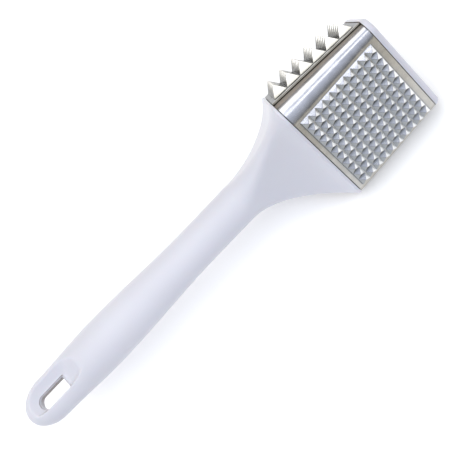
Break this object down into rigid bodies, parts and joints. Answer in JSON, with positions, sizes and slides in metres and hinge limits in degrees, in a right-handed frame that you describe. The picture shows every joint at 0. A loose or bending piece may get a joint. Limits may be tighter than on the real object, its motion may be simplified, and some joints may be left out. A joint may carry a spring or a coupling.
{
  "type": "meat mallet",
  "caption": "Hand mallet for meat: a moulded plastic handle with a hanging slot carries a tapered three-sided head with a fine-toothed, a coarse-spiked and a smooth striking face.",
  "frame": {"origin": "centre of the smooth striking face", "axes": "+X along the handle towards the head and its end cap, +Z from the smooth face towards the ridge between the two toothed faces, +Y on the coarse-spiked side"},
  "size_m": [0.282, 0.0796, 0.0716],
  "materials": {
    "white_plastic": "satin moulded plastic, cool white",
    "core_plastic": "moulded plastic, unpolished, grey-brown",
    "plated_sheet": "pressed steel sheet, bright nickel and chrome plate",
    "plated_plate": "cast plate, bright nickel and chrome plate",
    "bolt_steel": "zinc-plated steel",
    "brass": "turned brass"
  },
  "bodies": {
    "root": {"handle": "white_plastic", "threaded_insert": "brass", "head_core": "core_plastic", "fine_tooth_plate": "plated_sheet", "coarse_tooth_plate": "plated_plate", "smooth_plate": "plated_plate", "end_cap": "white_plastic", "tie_bolt": "bolt_steel", "bolt_washer": "bolt_steel", "cap_plug": "white_plastic"}
  },
  "joints": []
}
